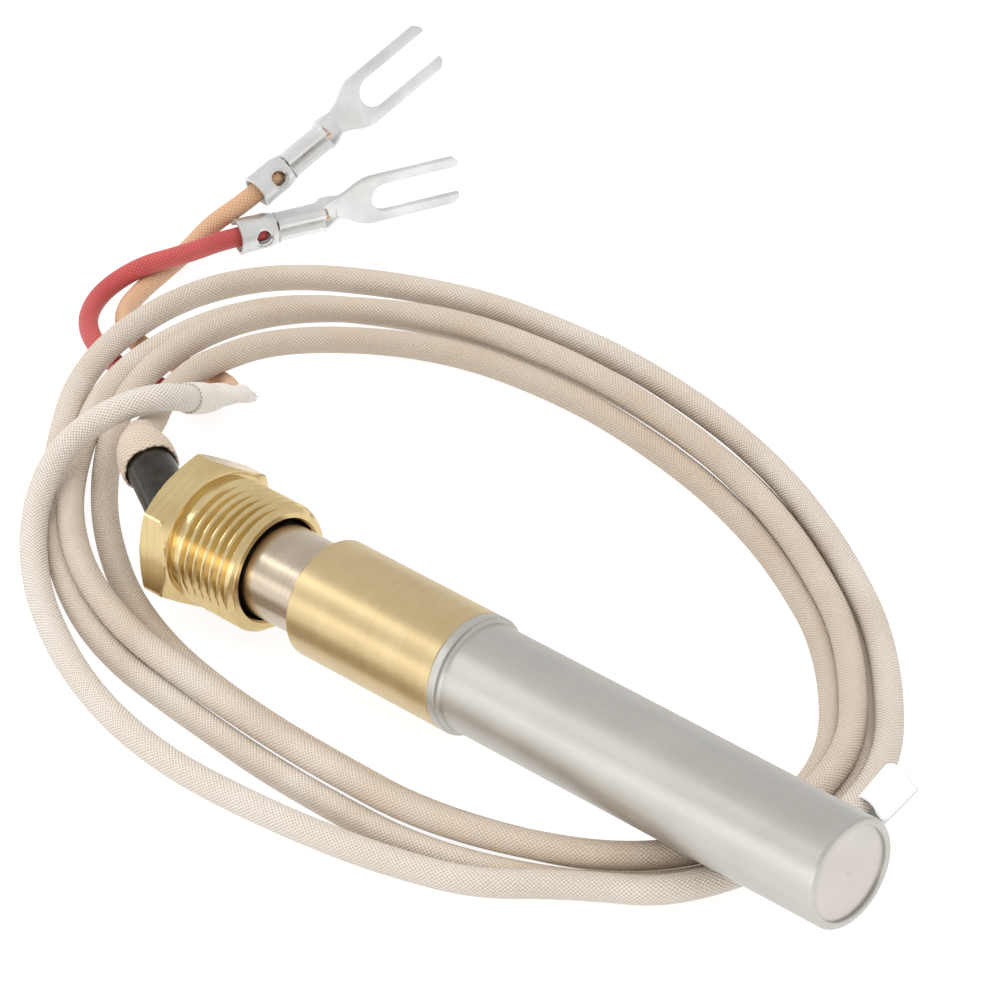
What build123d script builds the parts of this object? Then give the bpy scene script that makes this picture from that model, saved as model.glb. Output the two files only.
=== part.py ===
from build123d import *
import math
import os

# Screw-in millivolt thermopile with a braided lead, lying on its own loose coil of lead.
# +X runs along the thermopile towards its hot end, +Z is up, and the surface it lies on is z = 0.
# Thermopile pieces are drawn about a local X axis that starts near the collar, then placed by BODY.

# ---- driving dimensions, millimetres and degrees ----
SHIFT_X = -0.11           # puts the middle of the thermopile at x = 0
AXIS_Z = 12.62            # height of the local axis at its start
TILT = 2.0                # hot end raised by the lead under it
BODY = Location((0, 0, AXIS_Z), (0, -TILT, 0))

TUBE_R = 7.35             # hot tube
TUBE_WALL = 0.6
TUBE_BORE = TUBE_R - TUBE_WALL
TUBE_START = 1.6
TUBE_END = 65.2
COLLAR_R = 8.1            # flared collar of the hot tube, and the brass sleeve
COLLAR_LENGTH = 1.3
LIP_R = 6.25              # inside of the rolled lip round the end disc
LIP_THICK = 0.45
DISC_THICK = 0.9
DISC_BACK = TUBE_END - LIP_THICK - DISC_THICK

SLEEVE_START = -24.4
SLEEVE_CHAMFER = 1.0
SLEEVE_BORE = 5.75
SPIGOT_END = 5.6

NECK_R = 6.5
NECK_WALL = 0.6
NECK_BORE = NECK_R - NECK_WALL
NECK_START = -50.7
NECK_END = -8.0

NUT_FRONT = -33.1
NUT_HEX_FRONT = -44.5
NUT_REAR = -49.5
NUT_AF = 19.0
NUT_CORNER = NUT_AF / math.sqrt(3)
NUT_TURN = 55.2           # one corner of the hexagon, degrees from straight up towards -Y
NUT_CHAMFER = 0.7
THREAD_R = 8.9            # M18 x 1.5
THREAD_PITCH = 1.5
THREAD_DEPTH = 0.92
THREAD_TURNS = 6
NUT_COLLAR_R = 8.55
NUT_RELIEF_R = 8.0
COUNTERBORE_R = 7.05
RUNNING_CLEARANCE = 0.06

STUB_R = 3.3              # lead-out tube at the back
STUB_WALL = 0.45
STUB_INNER_END = -47.0
STUB_BEND = -53.0
STUB_BEND_R = 9.0
STUB_DIRECTION = Vector(-0.893, 0.431, 0.114).normalized()
STUB_SHOWN = 10.0         # from the bend to the mouth of the braid
STUB_HIDDEN = 2.0         # pushed into the braid
BUSH_END = -46.0
CEMENT_END = -38.0

COUPLES = 14
LEG_R = 0.38
LEG_RING_R = 4.6
LEG_START = -4.0
LEG_END = 58.0
LINK_THICK = 0.7
MANDREL_R = 2.2
MICA_R = 2.6
WRAP_R = 5.55
WRAP_THICK = 0.15
MANDREL_END = 60.5
SPACERS = (8.0, 30.0, 52.0)
SPACER_THICK = 1.6
SPACER_GAP = 0.03

INNER_LEAD_R = 1.05
INNER_LEAD_OFFSET = 1.17
FERRULE_R = 1.15
FERRULE_START = -15.0
FERRULE_END = -9.5
TAKE_OFF_R = 0.3

CORD_D = 3.7
LEAD_D = 2.8
BRAID_MOUTH_R = 3.65
BRAID_TAPER = 3.4

FORK_LENGTH = 34.5
FORK_THICK = 0.8
FORK_PLATE_Z = -1.7       # the plate lies below the axis of the crimp
FORK_SLOT = 4.5
FORK_TINE = 1.7
FORK_HALF = FORK_SLOT / 2 + FORK_TINE
FORK_SLOT_START = 21.0
FORK_NECK = 1.7
CRIMP_LENGTH = 5.7
CRIMP_R = 2.1
BARREL_END = 13.0
STRAND_R = 0.28

# Reach of the coil's innermost and outermost turn from its centre, every 22.5 degrees from +X.
COIL_CENTRE = Vector(-28.0, 25.0, 0)
COIL_INNER = [67.4, 53.6, 44.0, 40.1, 40.2, 45.0, 54.0, 60.0, 58.5, 50.0, 46.0, 41.5, 39.6, 43.5, 55.6, 70.6]
COIL_OUTER = [76.6, 61.0, 51.2, 47.8, 48.6, 54.2, 64.5, 75.3, 71.5, 58.6, 52.4, 49.9, 48.3, 54.0, 68.0, 79.2]
COIL_MARGIN = 1.5
COIL_HEIGHT = 6.3
BRIDGE = (-95.0, 33.6, 40.0, 18.0)   # where the coil passes over the two leads: x, y, length, width
BRIDGE_HEIGHT = 9.2
TUNNEL_WIDTH = 13.6
TUNNEL_HEIGHT = 3.2

# Routes of the lead, chosen by hand, one point to each gentle bend.
CORD_START = [
    (-66.4, 6.5, 12.3), (-69.7, 9.2, 11.2), (-72.6, 13.8, 8.9), (-75.9, 18.0, 7.3), (-79.2, 22.0, 6.1),
    (-81.7, 27.2, 5.2), (-83.6, 33.0, 4.9),
]
OUTER_LOOP = [
    (30.6, -13.8, 2.6), (22.6, -20.6, 1.9), (12.2, -24.6, 1.85), (1.4, -27.2, 1.85), (-9.4, -28.8, 1.85),
    (-20.9, -29.7, 1.85), (-32.2, -28.6, 1.85), (-43.2, -25.6, 1.85), (-53.6, -21.1, 1.9), (-63.5, -15.4, 2.6),
    (-71.5, -8.5, 5.0), (-76.2, -1.2, 7.8), (-76.7, 4.7, 10.6), (-73.6, 9.9, 13.7), (-71.4, 15.4, 13.8),
    (-72.2, 21.2, 10.2), (-74.9, 27.2, 6.4),
]
TAIL_END = (-78.7, 36.0, 1.3)
RED_ROUTE = [
    (-75.5, 27.2, 5.6), (-78.4, 30.4, 2.8), (-83.0, 30.6, 1.45), (-89.2, 28.7, 1.45), (-95.2, 28.8, 1.45),
    (-101.4, 30.2, 1.45), (-106.9, 33.3, 1.45), (-110.4, 38.0, 1.45), (-111.0, 42.4, 2.4), (-108.9, 46.4, 4.4),
    (-107.3, 50.8, 4.5), (-106.9, 55.4, 4.0),
]
TAN_ROUTE = [
    (-76.9, 32.2, 3.9), (-79.4, 35.6, 1.9), (-83.6, 36.4, 1.45), (-89.2, 35.2, 1.45), (-95.4, 34.4, 1.45),
    (-101.6, 35.8, 1.45), (-105.8, 39.6, 1.45), (-107.9, 45.1, 1.45), (-109.4, 50.9, 1.45), (-110.6, 56.3, 1.7),
    (-110.4, 60.9, 4.2),
]
RED_FORK_ORIGIN = Vector(-106.1, 61.8, 3.5)
RED_FORK_AXIS = Vector(13.9, 31.5, 1.3).normalized()
RED_FORK_FACE = Vector(0.915, -0.402, -0.035)
TAN_FORK_ORIGIN = Vector(-107.5, 67.1, 8.0)
TAN_FORK_AXIS = Vector(5.0, 31.3, 13.6).normalized()
TAN_FORK_FACE = Vector(0.885, -0.297, 0.359)
LEAD_IN_FORK = 4.2        # how far a lead's insulation reaches into its crimp


# ---- helpers ----

def turned(*points):
    """A solid of revolution about the local X axis from (x, radius) points."""
    return revolve(make_face(Polyline(*points, close=True)), Axis.X)


def ring(start, end, outer, inner):
    """A plain tube about the local X axis."""
    return turned((start, inner), (end, inner), (end, outer), (start, outer))


def rod(start, end, radius, y=0.0, z=0.0):
    """A round bar along the local X axis."""
    return Pos((start + end) / 2, y, z) * Rot(0, 90, 0) * Cylinder(radius, end - start)


def on_circle(radius, index, count):
    """The y and z of one of several places round the axis."""
    angle = 2 * math.pi * index / count
    return radius * math.cos(angle), radius * math.sin(angle)


def rims(solid, radius):
    """Circular edges of one radius, from back to front."""
    circles = solid.edges().filter_by(GeomType.CIRCLE)
    return circles.filter_by(lambda edge: abs(edge.radius - radius) < 0.01).sort_by(Axis.X)


def placed_point(x, y=0.0, z=0.0):
    """A point of the thermopile, moved to where the thermopile lies."""
    return (BODY * Pos(x, y, z)).position


def pipe(route, radius, bore=0.0):
    """A round bar or tube along a route."""
    section = Plane(route @ 0, z_dir=route % 0)
    solid = sweep(section * Circle(radius), path=route)
    if bore:
        solid = solid - sweep(section * Circle(bore), path=route)
    return solid


# ---- thermopile ----

def hot_tube():
    """Drawn steel tube, flared to a collar at the brass and rolled over the end disc."""
    collar_end = TUBE_START + COLLAR_LENGTH
    tube = turned(
        (TUBE_START, TUBE_BORE), (TUBE_END - LIP_THICK, TUBE_BORE), (TUBE_END - LIP_THICK, LIP_R),
        (TUBE_END, LIP_R), (TUBE_END, TUBE_R), (collar_end, TUBE_R), (collar_end, COLLAR_R), (TUBE_START, COLLAR_R),
    )
    tube = fillet(rims(tube, TUBE_R)[-1], 0.55)
    tube = fillet(rims(tube, TUBE_R)[0], 0.5)
    tube = fillet(rims(tube, COLLAR_R), 0.2)
    return fillet(rims(tube, LIP_R)[-1], 0.2)


def end_disc():
    """Disc held behind the rolled lip, very slightly dished."""
    front = TUBE_END - LIP_THICK
    return turned(
        (DISC_BACK, 0), (DISC_BACK, TUBE_BORE), (front, TUBE_BORE), (front, 5.4), (front - 0.12, 3.6), (front - 0.2, 0),
    )


def brass_sleeve():
    """Turned brass sleeve with a spigot in the hot tube and a socket for the neck; the nut drives its back edge."""
    back_r = COLLAR_R - SLEEVE_CHAMFER
    return turned(
        (SLEEVE_START, NECK_R), (NECK_END, NECK_R), (NECK_END, SLEEVE_BORE), (SPIGOT_END, SLEEVE_BORE),
        (SPIGOT_END, TUBE_BORE - 0.3), (SPIGOT_END - 0.3, TUBE_BORE), (TUBE_START, TUBE_BORE),
        (TUBE_START, COLLAR_R - 0.12), (TUBE_START - 0.12, COLLAR_R), (SLEEVE_START + SLEEVE_CHAMFER, COLLAR_R),
        (SLEEVE_START + 0.25, back_r + 0.15), (SLEEVE_START, back_r - 0.1),
    )


def neck_tube():
    """Plated neck that the nut runs on, its back edge rounded in."""
    return turned(
        (NECK_START, NECK_BORE), (NECK_END, NECK_BORE), (NECK_END, NECK_R), (NECK_START + 0.5, NECK_R),
        (NECK_START + 0.12, NECK_R - 0.15), (NECK_START, NECK_R - 0.4),
    )


def adapter_nut():
    """Hexagon nut with an outside thread, a counterbore in front and a close bore behind."""
    bore = NECK_R + RUNNING_CLEARANCE
    step = NUT_HEX_FRONT + 2.0
    crest = NUT_FRONT - NUT_CHAMFER - 0.25
    profile = [(NUT_HEX_FRONT, bore), (step, bore), (step + 0.5, COUNTERBORE_R), (NUT_FRONT - 0.3, COUNTERBORE_R)]
    profile += [(NUT_FRONT, COUNTERBORE_R + 0.25), (NUT_FRONT, THREAD_R - NUT_CHAMFER - 0.15)]
    profile += [(NUT_FRONT - NUT_CHAMFER, THREAD_R)]
    for turn in range(THREAD_TURNS):
        groove = crest - turn * THREAD_PITCH
        profile += [(groove, THREAD_R), (groove - 0.53, THREAD_R - THREAD_DEPTH)]
        profile += [(groove - 0.72, THREAD_R - THREAD_DEPTH), (groove - 1.25, THREAD_R)]
    last = crest - THREAD_TURNS * THREAD_PITCH
    profile += [(last, THREAD_R), (last - 0.3, NUT_COLLAR_R), (NUT_HEX_FRONT + 0.45, NUT_COLLAR_R)]
    profile += [(NUT_HEX_FRONT + 0.2, NUT_RELIEF_R), (NUT_HEX_FRONT, NUT_RELIEF_R)]
    flats = extrude(Plane.YZ * RegularPolygon(NUT_CORNER, 6, rotation=90), NUT_HEX_FRONT - NUT_REAR)
    flats = Pos(NUT_REAR, 0, 0) * Rot(NUT_TURN, 0, 0) * flats
    flats &= turned(
        (NUT_REAR, 0), (NUT_HEX_FRONT, 0), (NUT_HEX_FRONT, NUT_AF / 2 - 0.25), (NUT_HEX_FRONT - 1.0, NUT_CORNER + 0.1),
        (NUT_REAR + 1.0, NUT_CORNER + 0.1), (NUT_REAR, NUT_AF / 2 - 0.25),
    )
    return flats - rod(NUT_REAR - 1, NUT_HEX_FRONT + 1, bore) + turned(*profile)


def lead_bush():
    """Plug in the back of the neck that holds the lead-out tube."""
    return ring(NECK_START, BUSH_END, NECK_BORE, STUB_R)


def back_route(start, offset, after):
    """Out of the back along the axis, then along the lead-out tube, to a length after the bend."""
    bend = placed_point(STUB_BEND, 0, offset)
    return FilletPolyline(placed_point(start, 0, offset), bend, bend + STUB_DIRECTION * after, radius=STUB_BEND_R)


def lead_out_tube():
    """Dark tube that carries the two wires out of the neck into the braid."""
    return pipe(back_route(STUB_INNER_END, 0, STUB_SHOWN + STUB_HIDDEN), STUB_R, STUB_R - STUB_WALL)


def braid_mouth():
    """The end of the braid, opened over the lead-out tube and drawn down to the cord behind it."""
    mouth = placed_point(STUB_BEND) + STUB_DIRECTION * STUB_SHOWN
    end = STUB_HIDDEN + BRAID_TAPER
    shape = turned(
        (0, STUB_R), (0, BRAID_MOUTH_R), (STUB_HIDDEN, BRAID_MOUTH_R), (end, CORD_D / 2),
        (end, 0), (STUB_HIDDEN, 0), (STUB_HIDDEN, STUB_R),
    )
    across = STUB_DIRECTION.cross(Vector(0, 1, 0))
    return Plane(mouth, x_dir=STUB_DIRECTION, z_dir=across).location * shape


# ---- inside the thermopile ----

def legs(first):
    """Every second leg of the couples, one alloy in each group."""
    count = 2 * COUPLES
    return [rod(LEG_START, LEG_END, LEG_R, *on_circle(LEG_RING_R, index, count)) for index in range(first, count, 2)]


def links(offset, at, count):
    """Welded links between neighbouring legs, all at one end."""
    group = []
    for pair in range(count):
        y1, z1 = on_circle(LEG_RING_R, 2 * pair + offset, 2 * COUPLES)
        y2, z2 = on_circle(LEG_RING_R, 2 * pair + offset + 1, 2 * COUPLES)
        span = math.hypot(y2 - y1, z2 - z1) + 2 * LEG_R
        turn = math.degrees(math.atan2(z2 - z1, y2 - y1))
        group.append(Pos(at, (y1 + y2) / 2, (z1 + z2) / 2) * Rot(turn, 0, 0) * Box(LINK_THICK, span, 2 * LEG_R))
    return group


def leg_spacer(at):
    """Ceramic disc with a hole for every leg."""
    disc = ring(at, at + SPACER_THICK, WRAP_R - SPACER_GAP, MICA_R + SPACER_GAP)
    holes = [rod(at - 1, at + SPACER_THICK + 1, LEG_R, *on_circle(LEG_RING_R, index, 2 * COUPLES))
             for index in range(2 * COUPLES)]
    return disc - holes


def take_off_wire(index, offset):
    """Wire from the cold end of the first or last leg to its ferrule."""
    y, z = on_circle(LEG_RING_R, index, 2 * COUPLES)
    out = LEG_START - 1.4
    into = FERRULE_END + 1.0
    route = FilletPolyline((LEG_START, y, z), (out, y, z), (into, 0, offset), (FERRULE_END, 0, offset), radius=0.8)
    return pipe(route, TAKE_OFF_R)


def cement_plug():
    """Cement behind the couples, cast round the two wires."""
    plug = rod(BUSH_END, CEMENT_END, NECK_BORE)
    for side in (1, -1):
        plug -= rod(BUSH_END - 1, CEMENT_END + 1, INNER_LEAD_R, 0, side * INNER_LEAD_OFFSET)
    return plug - rod(STUB_INNER_END, BUSH_END, STUB_R)


def inner_lead(side):
    """One of the two insulated wires, from its ferrule to the end of the lead-out tube."""
    route = back_route(FERRULE_START, side * INNER_LEAD_OFFSET, STUB_SHOWN + STUB_HIDDEN - 0.4)
    return pipe(route, INNER_LEAD_R)


# ---- lead ----

def arc_radii(points):
    """Radius of the tangent arc at each inner point, from the shorter run beside it."""
    radii = []
    for before, here, after in zip(points, points[1:], points[2:]):
        run_in = Vector(*here) - Vector(*before)
        run_out = Vector(*after) - Vector(*here)
        half_turn = math.radians(run_in.get_angle(run_out)) / 2
        radii.append(0.45 * min(run_in.length, run_out.length) / math.tan(half_turn))
    return radii


def tube_along(name, points, diameter):
    """A plain round tube along a hand chosen route, with its radii, length and volume printed."""
    radii = arc_radii(points)
    route = FilletPolyline(*points, radius=radii)
    solid = pipe(route, diameter / 2)
    ratio = solid.volume / (math.pi * diameter ** 2 / 4 * route.length)
    print(name, "radii", [round(r, 1) for r in radii], "length", round(route.length, 1), "volume", round(ratio, 4))
    return solid


def coil_outline(reaches, margin):
    """Face inside the closed curve of one turn, moved in or out by a margin."""
    points = []
    for index, reach in enumerate(reaches):
        angle = 2 * math.pi * index / len(reaches)
        points.append(COIL_CENTRE + Vector(math.cos(angle), math.sin(angle)) * (reach + margin))
    return make_face(Spline(*points, periodic=True))


def cord_coil():
    """Outer shape of the loose turns, raised where they pass over the two leads."""
    band = coil_outline(COIL_OUTER, COIL_MARGIN) - coil_outline(COIL_INNER, -COIL_MARGIN)
    x, y, length, width = BRIDGE
    hump = extrude(band, BRIDGE_HEIGHT) & Pos(x, y, BRIDGE_HEIGHT / 2) * Box(length, width, BRIDGE_HEIGHT)
    tunnel = Pos(x, y, TUNNEL_HEIGHT / 2) * Box(length, TUNNEL_WIDTH, TUNNEL_HEIGHT)
    return extrude(band, COIL_HEIGHT) + hump - tunnel


def sleeve_tail():
    """The last of the braid, empty and flattened, beyond where the leads come out of its side."""
    start = Vector(*OUTER_LOOP[-1])
    run = Vector(*TAIL_END) - start
    side = run.cross(Vector(0, 0, 1))
    round_end = Plane(start, x_dir=side, z_dir=run) * Ellipse(CORD_D / 2, CORD_D / 2 - 0.05)
    flat_end = Plane(start + run, x_dir=side, z_dir=run) * Ellipse(2.5, 0.9)
    return loft([round_end.face(), flat_end.face()])


def lead(name, points, origin, axis):
    """An insulated lead from the side of the braid into the crimp of its terminal."""
    before = origin - axis * 2.4
    inside = origin + axis * LEAD_IN_FORK
    return tube_along(name, points + [tuple(before), tuple(inside)], LEAD_D)


# ---- terminals ----

def fork_place(origin, axis, face):
    return Plane(origin, x_dir=axis, z_dir=face).location


def fork():
    """Fork terminal along +X: a wrap on the insulation, a barrel on the bare strands, and a slotted plate."""
    slot_r = FORK_SLOT / 2
    arc_end = FORK_SLOT_START + slot_r
    shoulder = Spline((15.5, FORK_NECK), (18.0, 2.8), (20.4, FORK_HALF), tangents=[(1, 0.05), (1, 0.3)])
    edge = [
        Line((BARREL_END - 0.6, 0), (BARREL_END - 0.6, FORK_NECK)),
        Line((BARREL_END - 0.6, FORK_NECK), (15.5, FORK_NECK)),
        shoulder,
        Line((20.4, FORK_HALF), (FORK_LENGTH - 0.7, FORK_HALF)),
        Line((FORK_LENGTH - 0.7, FORK_HALF), (FORK_LENGTH, slot_r + 0.7)),
        Line((FORK_LENGTH, slot_r + 0.7), (FORK_LENGTH, slot_r)),
        Line((FORK_LENGTH, slot_r), (arc_end, slot_r)),
        CenterArc((arc_end, 0), slot_r, 90, 90),
        Line((FORK_SLOT_START, 0), (BARREL_END - 0.6, 0)),
    ]
    half_plate = make_face(Wire(edge))
    plate = extrude(half_plate + mirror(half_plate, Plane.XZ), FORK_THICK)
    plate = Pos(0, 0, FORK_PLATE_Z) * plate
    barrel = Pos((CRIMP_LENGTH + BARREL_END) / 2, 0, 0) * Box(BARREL_END - CRIMP_LENGTH, 3.6, 3.4)
    barrel = fillet(barrel.edges().filter_by(Axis.X), 0.9)
    barrel -= rod(CRIMP_LENGTH - 1, BARREL_END + 1, 3 * STRAND_R + 0.05)
    wrap = ring(0, CRIMP_LENGTH, CRIMP_R, LEAD_D / 2)
    window = Pos(3.4, 0, 0) * Cylinder(1.1, 8)
    return plate + barrel + (wrap - window)


def strands(origin, axis, face):
    """Bare strands in the barrel of a terminal."""
    start = LEAD_IN_FORK
    group = [rod(start, BARREL_END + 1.0, STRAND_R)]
    for index in range(6):
        end = BARREL_END + 0.6 + 0.2 * (index % 3)
        group.append(rod(start, end, STRAND_R, *on_circle(2 * STRAND_R, index, 6)))
    return [fork_place(origin, axis, face) * wire for wire in group]


def paper_tag():
    """Blank paper flag beside the outermost turn."""
    return Pos(49.9, 27.6, 2.6) * Rot(0, 0, 100) * Box(9.6, 0.4, 3.6)


# ---- the nodes ----

def in_body(shape):
    return BODY * shape


def group(shapes):
    return Compound(children=list(shapes))


thermopile = {
    "hot_tube": in_body(hot_tube()),
    "end_disc": in_body(end_disc()),
    "brass_sleeve": in_body(brass_sleeve()),
    "neck_tube": in_body(neck_tube()),
    "adapter_nut": in_body(adapter_nut()),
    "lead_bush": in_body(lead_bush()),
    "lead_out_tube": lead_out_tube(),
    "hot_end_pad": in_body(rod(MANDREL_END, DISC_BACK, TUBE_BORE)),
    "mandrel": in_body(rod(-6.0, MANDREL_END, MANDREL_R)),
    "mica_tube": in_body(ring(-3.0, 57.0, MICA_R, MANDREL_R)),
    "mica_wrap": in_body(ring(-3.0, LEG_END + LINK_THICK, WRAP_R + WRAP_THICK, WRAP_R)),
    "leg_spacers": group(in_body(leg_spacer(at)) for at in SPACERS),
    "positive_legs": group(in_body(leg) for leg in legs(0)),
    "negative_legs": group(in_body(leg) for leg in legs(1)),
    "hot_junctions": group(in_body(link) for link in links(0, LEG_END + LINK_THICK / 2, COUPLES)),
    "cold_junctions": group(in_body(link) for link in links(1, LEG_START - LINK_THICK / 2, COUPLES - 1)),
    "take_off_wires": group([
        in_body(take_off_wire(0, INNER_LEAD_OFFSET)),
        in_body(take_off_wire(2 * COUPLES - 1, -INNER_LEAD_OFFSET)),
    ]),
    "lead_ferrules": group(
        in_body(rod(FERRULE_START, FERRULE_END, FERRULE_R, 0, side * INNER_LEAD_OFFSET)) for side in (1, -1)
    ),
    "inner_red_lead": inner_lead(1),
    "inner_tan_lead": inner_lead(-1),
    "cement_plug": in_body(cement_plug()),
}

cord = {
    "braid_mouth": braid_mouth(),
    "cord_start": tube_along("cord_start", CORD_START, CORD_D),
    "cord_coil": cord_coil(),
    "cord_outer_loop": tube_along("cord_outer_loop", OUTER_LOOP, CORD_D),
    "sleeve_tail": sleeve_tail(),
    "red_lead": lead("red_lead", RED_ROUTE, RED_FORK_ORIGIN, RED_FORK_AXIS),
    "tan_lead": lead("tan_lead", TAN_ROUTE, TAN_FORK_ORIGIN, TAN_FORK_AXIS),
    "red_fork": fork_place(RED_FORK_ORIGIN, RED_FORK_AXIS, RED_FORK_FACE) * fork(),
    "tan_fork": fork_place(TAN_FORK_ORIGIN, TAN_FORK_AXIS, TAN_FORK_FACE) * fork(),
    "red_strands": group(strands(RED_FORK_ORIGIN, RED_FORK_AXIS, RED_FORK_FACE)),
    "tan_strands": group(strands(TAN_FORK_ORIGIN, TAN_FORK_AXIS, TAN_FORK_FACE)),
    "paper_tag": paper_tag(),
}

os.makedirs("parts", exist_ok=True)
for name, shape in {**thermopile, **cord}.items():
    export_step(Pos(SHIFT_X, 0, 0) * shape, "parts/" + name + ".step")

box = Compound(children=[Pos(SHIFT_X, 0, 0) * shape for shape in thermopile.values()]).bounding_box()
print("thermopile box", [round(v, 3) for v in box.min], [round(v, 3) for v in box.max])
print("middle x, y", round((box.min.X + box.max.X) / 2, 3), round((box.min.Y + box.max.Y) / 2, 3))
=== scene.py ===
import math
import random

import bmesh
import bpy
import numpy as np
from mathutils import Matrix, Vector


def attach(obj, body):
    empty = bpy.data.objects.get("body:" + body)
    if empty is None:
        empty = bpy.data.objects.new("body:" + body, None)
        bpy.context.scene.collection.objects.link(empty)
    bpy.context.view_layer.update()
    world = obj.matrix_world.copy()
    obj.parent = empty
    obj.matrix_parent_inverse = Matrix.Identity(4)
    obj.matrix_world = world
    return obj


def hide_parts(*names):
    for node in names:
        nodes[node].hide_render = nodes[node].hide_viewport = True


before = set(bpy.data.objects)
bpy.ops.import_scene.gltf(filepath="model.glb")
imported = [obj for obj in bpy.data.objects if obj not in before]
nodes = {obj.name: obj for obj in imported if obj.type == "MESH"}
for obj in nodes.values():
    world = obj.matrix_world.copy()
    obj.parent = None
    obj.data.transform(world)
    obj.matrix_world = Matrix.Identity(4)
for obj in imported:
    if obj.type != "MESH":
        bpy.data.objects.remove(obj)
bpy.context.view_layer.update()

# ---- the shared frame: millimetres as in the part's source, metres in the scene ----
MM = 0.001
SHIFT_X = -0.11
AXIS_Z = 12.62
TILT = math.radians(2.0)
BODY = Matrix.Translation((SHIFT_X * MM, 0, AXIS_Z * MM)) @ Matrix.Rotation(-TILT, 4, "Y")

# The black tube bends away from the body's axis at STUB_BEND and shows for STUB_SHOWN before the braid.
STUB_BEND = -53.0
STUB_DIRECTION = Vector((-0.893, 0.431, 0.114)).normalized()
STUB_SHOWN = 10.0

CORD_D = 3.7
LEAD_D = 2.8
CORD_STEP = 0.6
LEAD_STEP = 0.5
CORD_AROUND = 36
LEAD_AROUND = 32

# ---- routes in millimetres, the same points as the part's source ----
CORD_START = [
    (-66.4, 6.5, 12.3), (-69.7, 9.2, 11.2), (-72.6, 13.8, 8.9), (-75.9, 18.0, 7.3), (-79.2, 22.0, 6.1),
    (-81.7, 27.2, 5.2), (-83.6, 33.0, 4.9),
]
OUTER_LOOP = [
    (30.6, -13.8, 2.6), (22.6, -20.6, 1.9), (12.2, -24.6, 1.85), (1.4, -27.2, 1.85),
    (-9.4, -28.8, 1.85), (-20.9, -29.7, 1.85), (-32.2, -28.6, 1.85), (-43.2, -25.6, 1.85),
    (-53.6, -21.1, 1.9), (-63.5, -15.4, 2.6), (-71.5, -8.5, 5.0), (-76.2, -1.2, 7.8),
    (-76.7, 4.7, 10.6), (-73.6, 9.9, 13.7), (-71.4, 15.4, 13.8), (-72.2, 21.2, 10.2), (-74.9, 27.2, 6.4),
]
TAIL_END = (-78.7, 36.0, 1.3)
RED_ROUTE = [
    (-75.5, 27.2, 5.6), (-78.4, 30.4, 2.8), (-83.0, 30.6, 1.45), (-89.2, 28.7, 1.45),
    (-95.2, 28.8, 1.45), (-101.4, 30.2, 1.45), (-106.9, 33.3, 1.45), (-110.4, 38.0, 1.45),
    (-111.0, 42.4, 2.4), (-108.9, 46.4, 4.4), (-107.3, 50.8, 4.5), (-106.9, 55.4, 4.0),
]
TAN_ROUTE = [
    (-76.9, 32.2, 3.9), (-79.4, 35.6, 1.9), (-83.6, 36.4, 1.45), (-89.2, 35.2, 1.45),
    (-95.4, 34.4, 1.45), (-101.6, 35.8, 1.45), (-105.8, 39.6, 1.45), (-107.9, 45.1, 1.45),
    (-109.4, 50.9, 1.45), (-110.6, 56.3, 1.7), (-110.4, 60.9, 4.2),
]
LEAD_BEFORE_FORK = 2.4
LEAD_IN_FORK = 4.2

# Each fork's origin at the open end of its wrap, the way its tines point, and the way its face looks.
RED_FORK = ((-106.1, 61.8, 3.5), (13.9, 31.5, 1.3), (0.915, -0.402, -0.035))
TAN_FORK = ((-107.5, 67.1, 8.0), (5.0, 31.3, 13.6), (0.885, -0.297, 0.359))

# Reach of the coil's innermost and outermost turn from its centre, every 22.5 degrees from +X.
COIL_CENTRE = (-28.0, 25.0)
COIL_INNER = [67.4, 53.6, 44.0, 40.1, 40.2, 45.0, 54.0, 60.0, 58.5, 50.0, 46.0, 41.5, 39.6, 43.5, 55.6, 70.6]
COIL_OUTER = [76.6, 61.0, 51.2, 47.8, 48.6, 54.2, 64.5, 75.3, 71.5, 58.6, 52.4, 49.9, 48.3, 54.0, 68.0, 79.2]
COIL_SHARES = [0.0, 0.35, 0.65, 1.0]      # how far out each of the four turns lies
COIL_LEVELS = [1.85, 4.6, 1.85, 4.6]      # and how high its centre line is
LANE_CHANGE = {14: 0.3, 15: 0.7}   # the last two points of a turn move towards the next turn's lane
COIL_STEPS = 16
LAST_TURN = 3
FIRST_STEP = 7            # joins the coil at 157.5 degrees and goes round clockwise
LAST_STEP = 15            # leaves its fourth turn at -22.5 degrees
OVER_LEADS = {7: 4.6, 8: 4.9}             # lowest height where the turns cross the red and tan leads
LIFT_INWARD = 1.25                        # a turn lifted there also moves in, by this share of the lift
BESIDE_NUT = {9: 1.6, 10: 3.2, 11: 1.5}   # only here: the innermost turn passes closer to the nut
CONTROL_REACH = 1.013                     # a spline passes inside its control points


def to_scene(point):
    return Vector(((point[0] + SHIFT_X) * MM, point[1] * MM, point[2] * MM))


# ---- camera, light and floor ----

CAMERA_AT = (431.23, -435.15, 451.16)
CAMERA_FORWARD = Vector((-0.57890, 0.59344, -0.55920))
CAMERA_RIGHT = Vector((0.71583, 0.69828, 0.0))
FOCAL_IN_FRAMES = 6000 / 1001     # focal length over the width of the frame
SENSOR_WIDTH = 36.0

WORLD_COLOUR = (1.0, 1.0, 1.0)
WORLD_STRENGTH = 0.86
FLOOR_SIZE = 6.0
FLOOR_GLOW = 0.84
FLOOR_GREYS = (0.27, 0.29)


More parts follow.
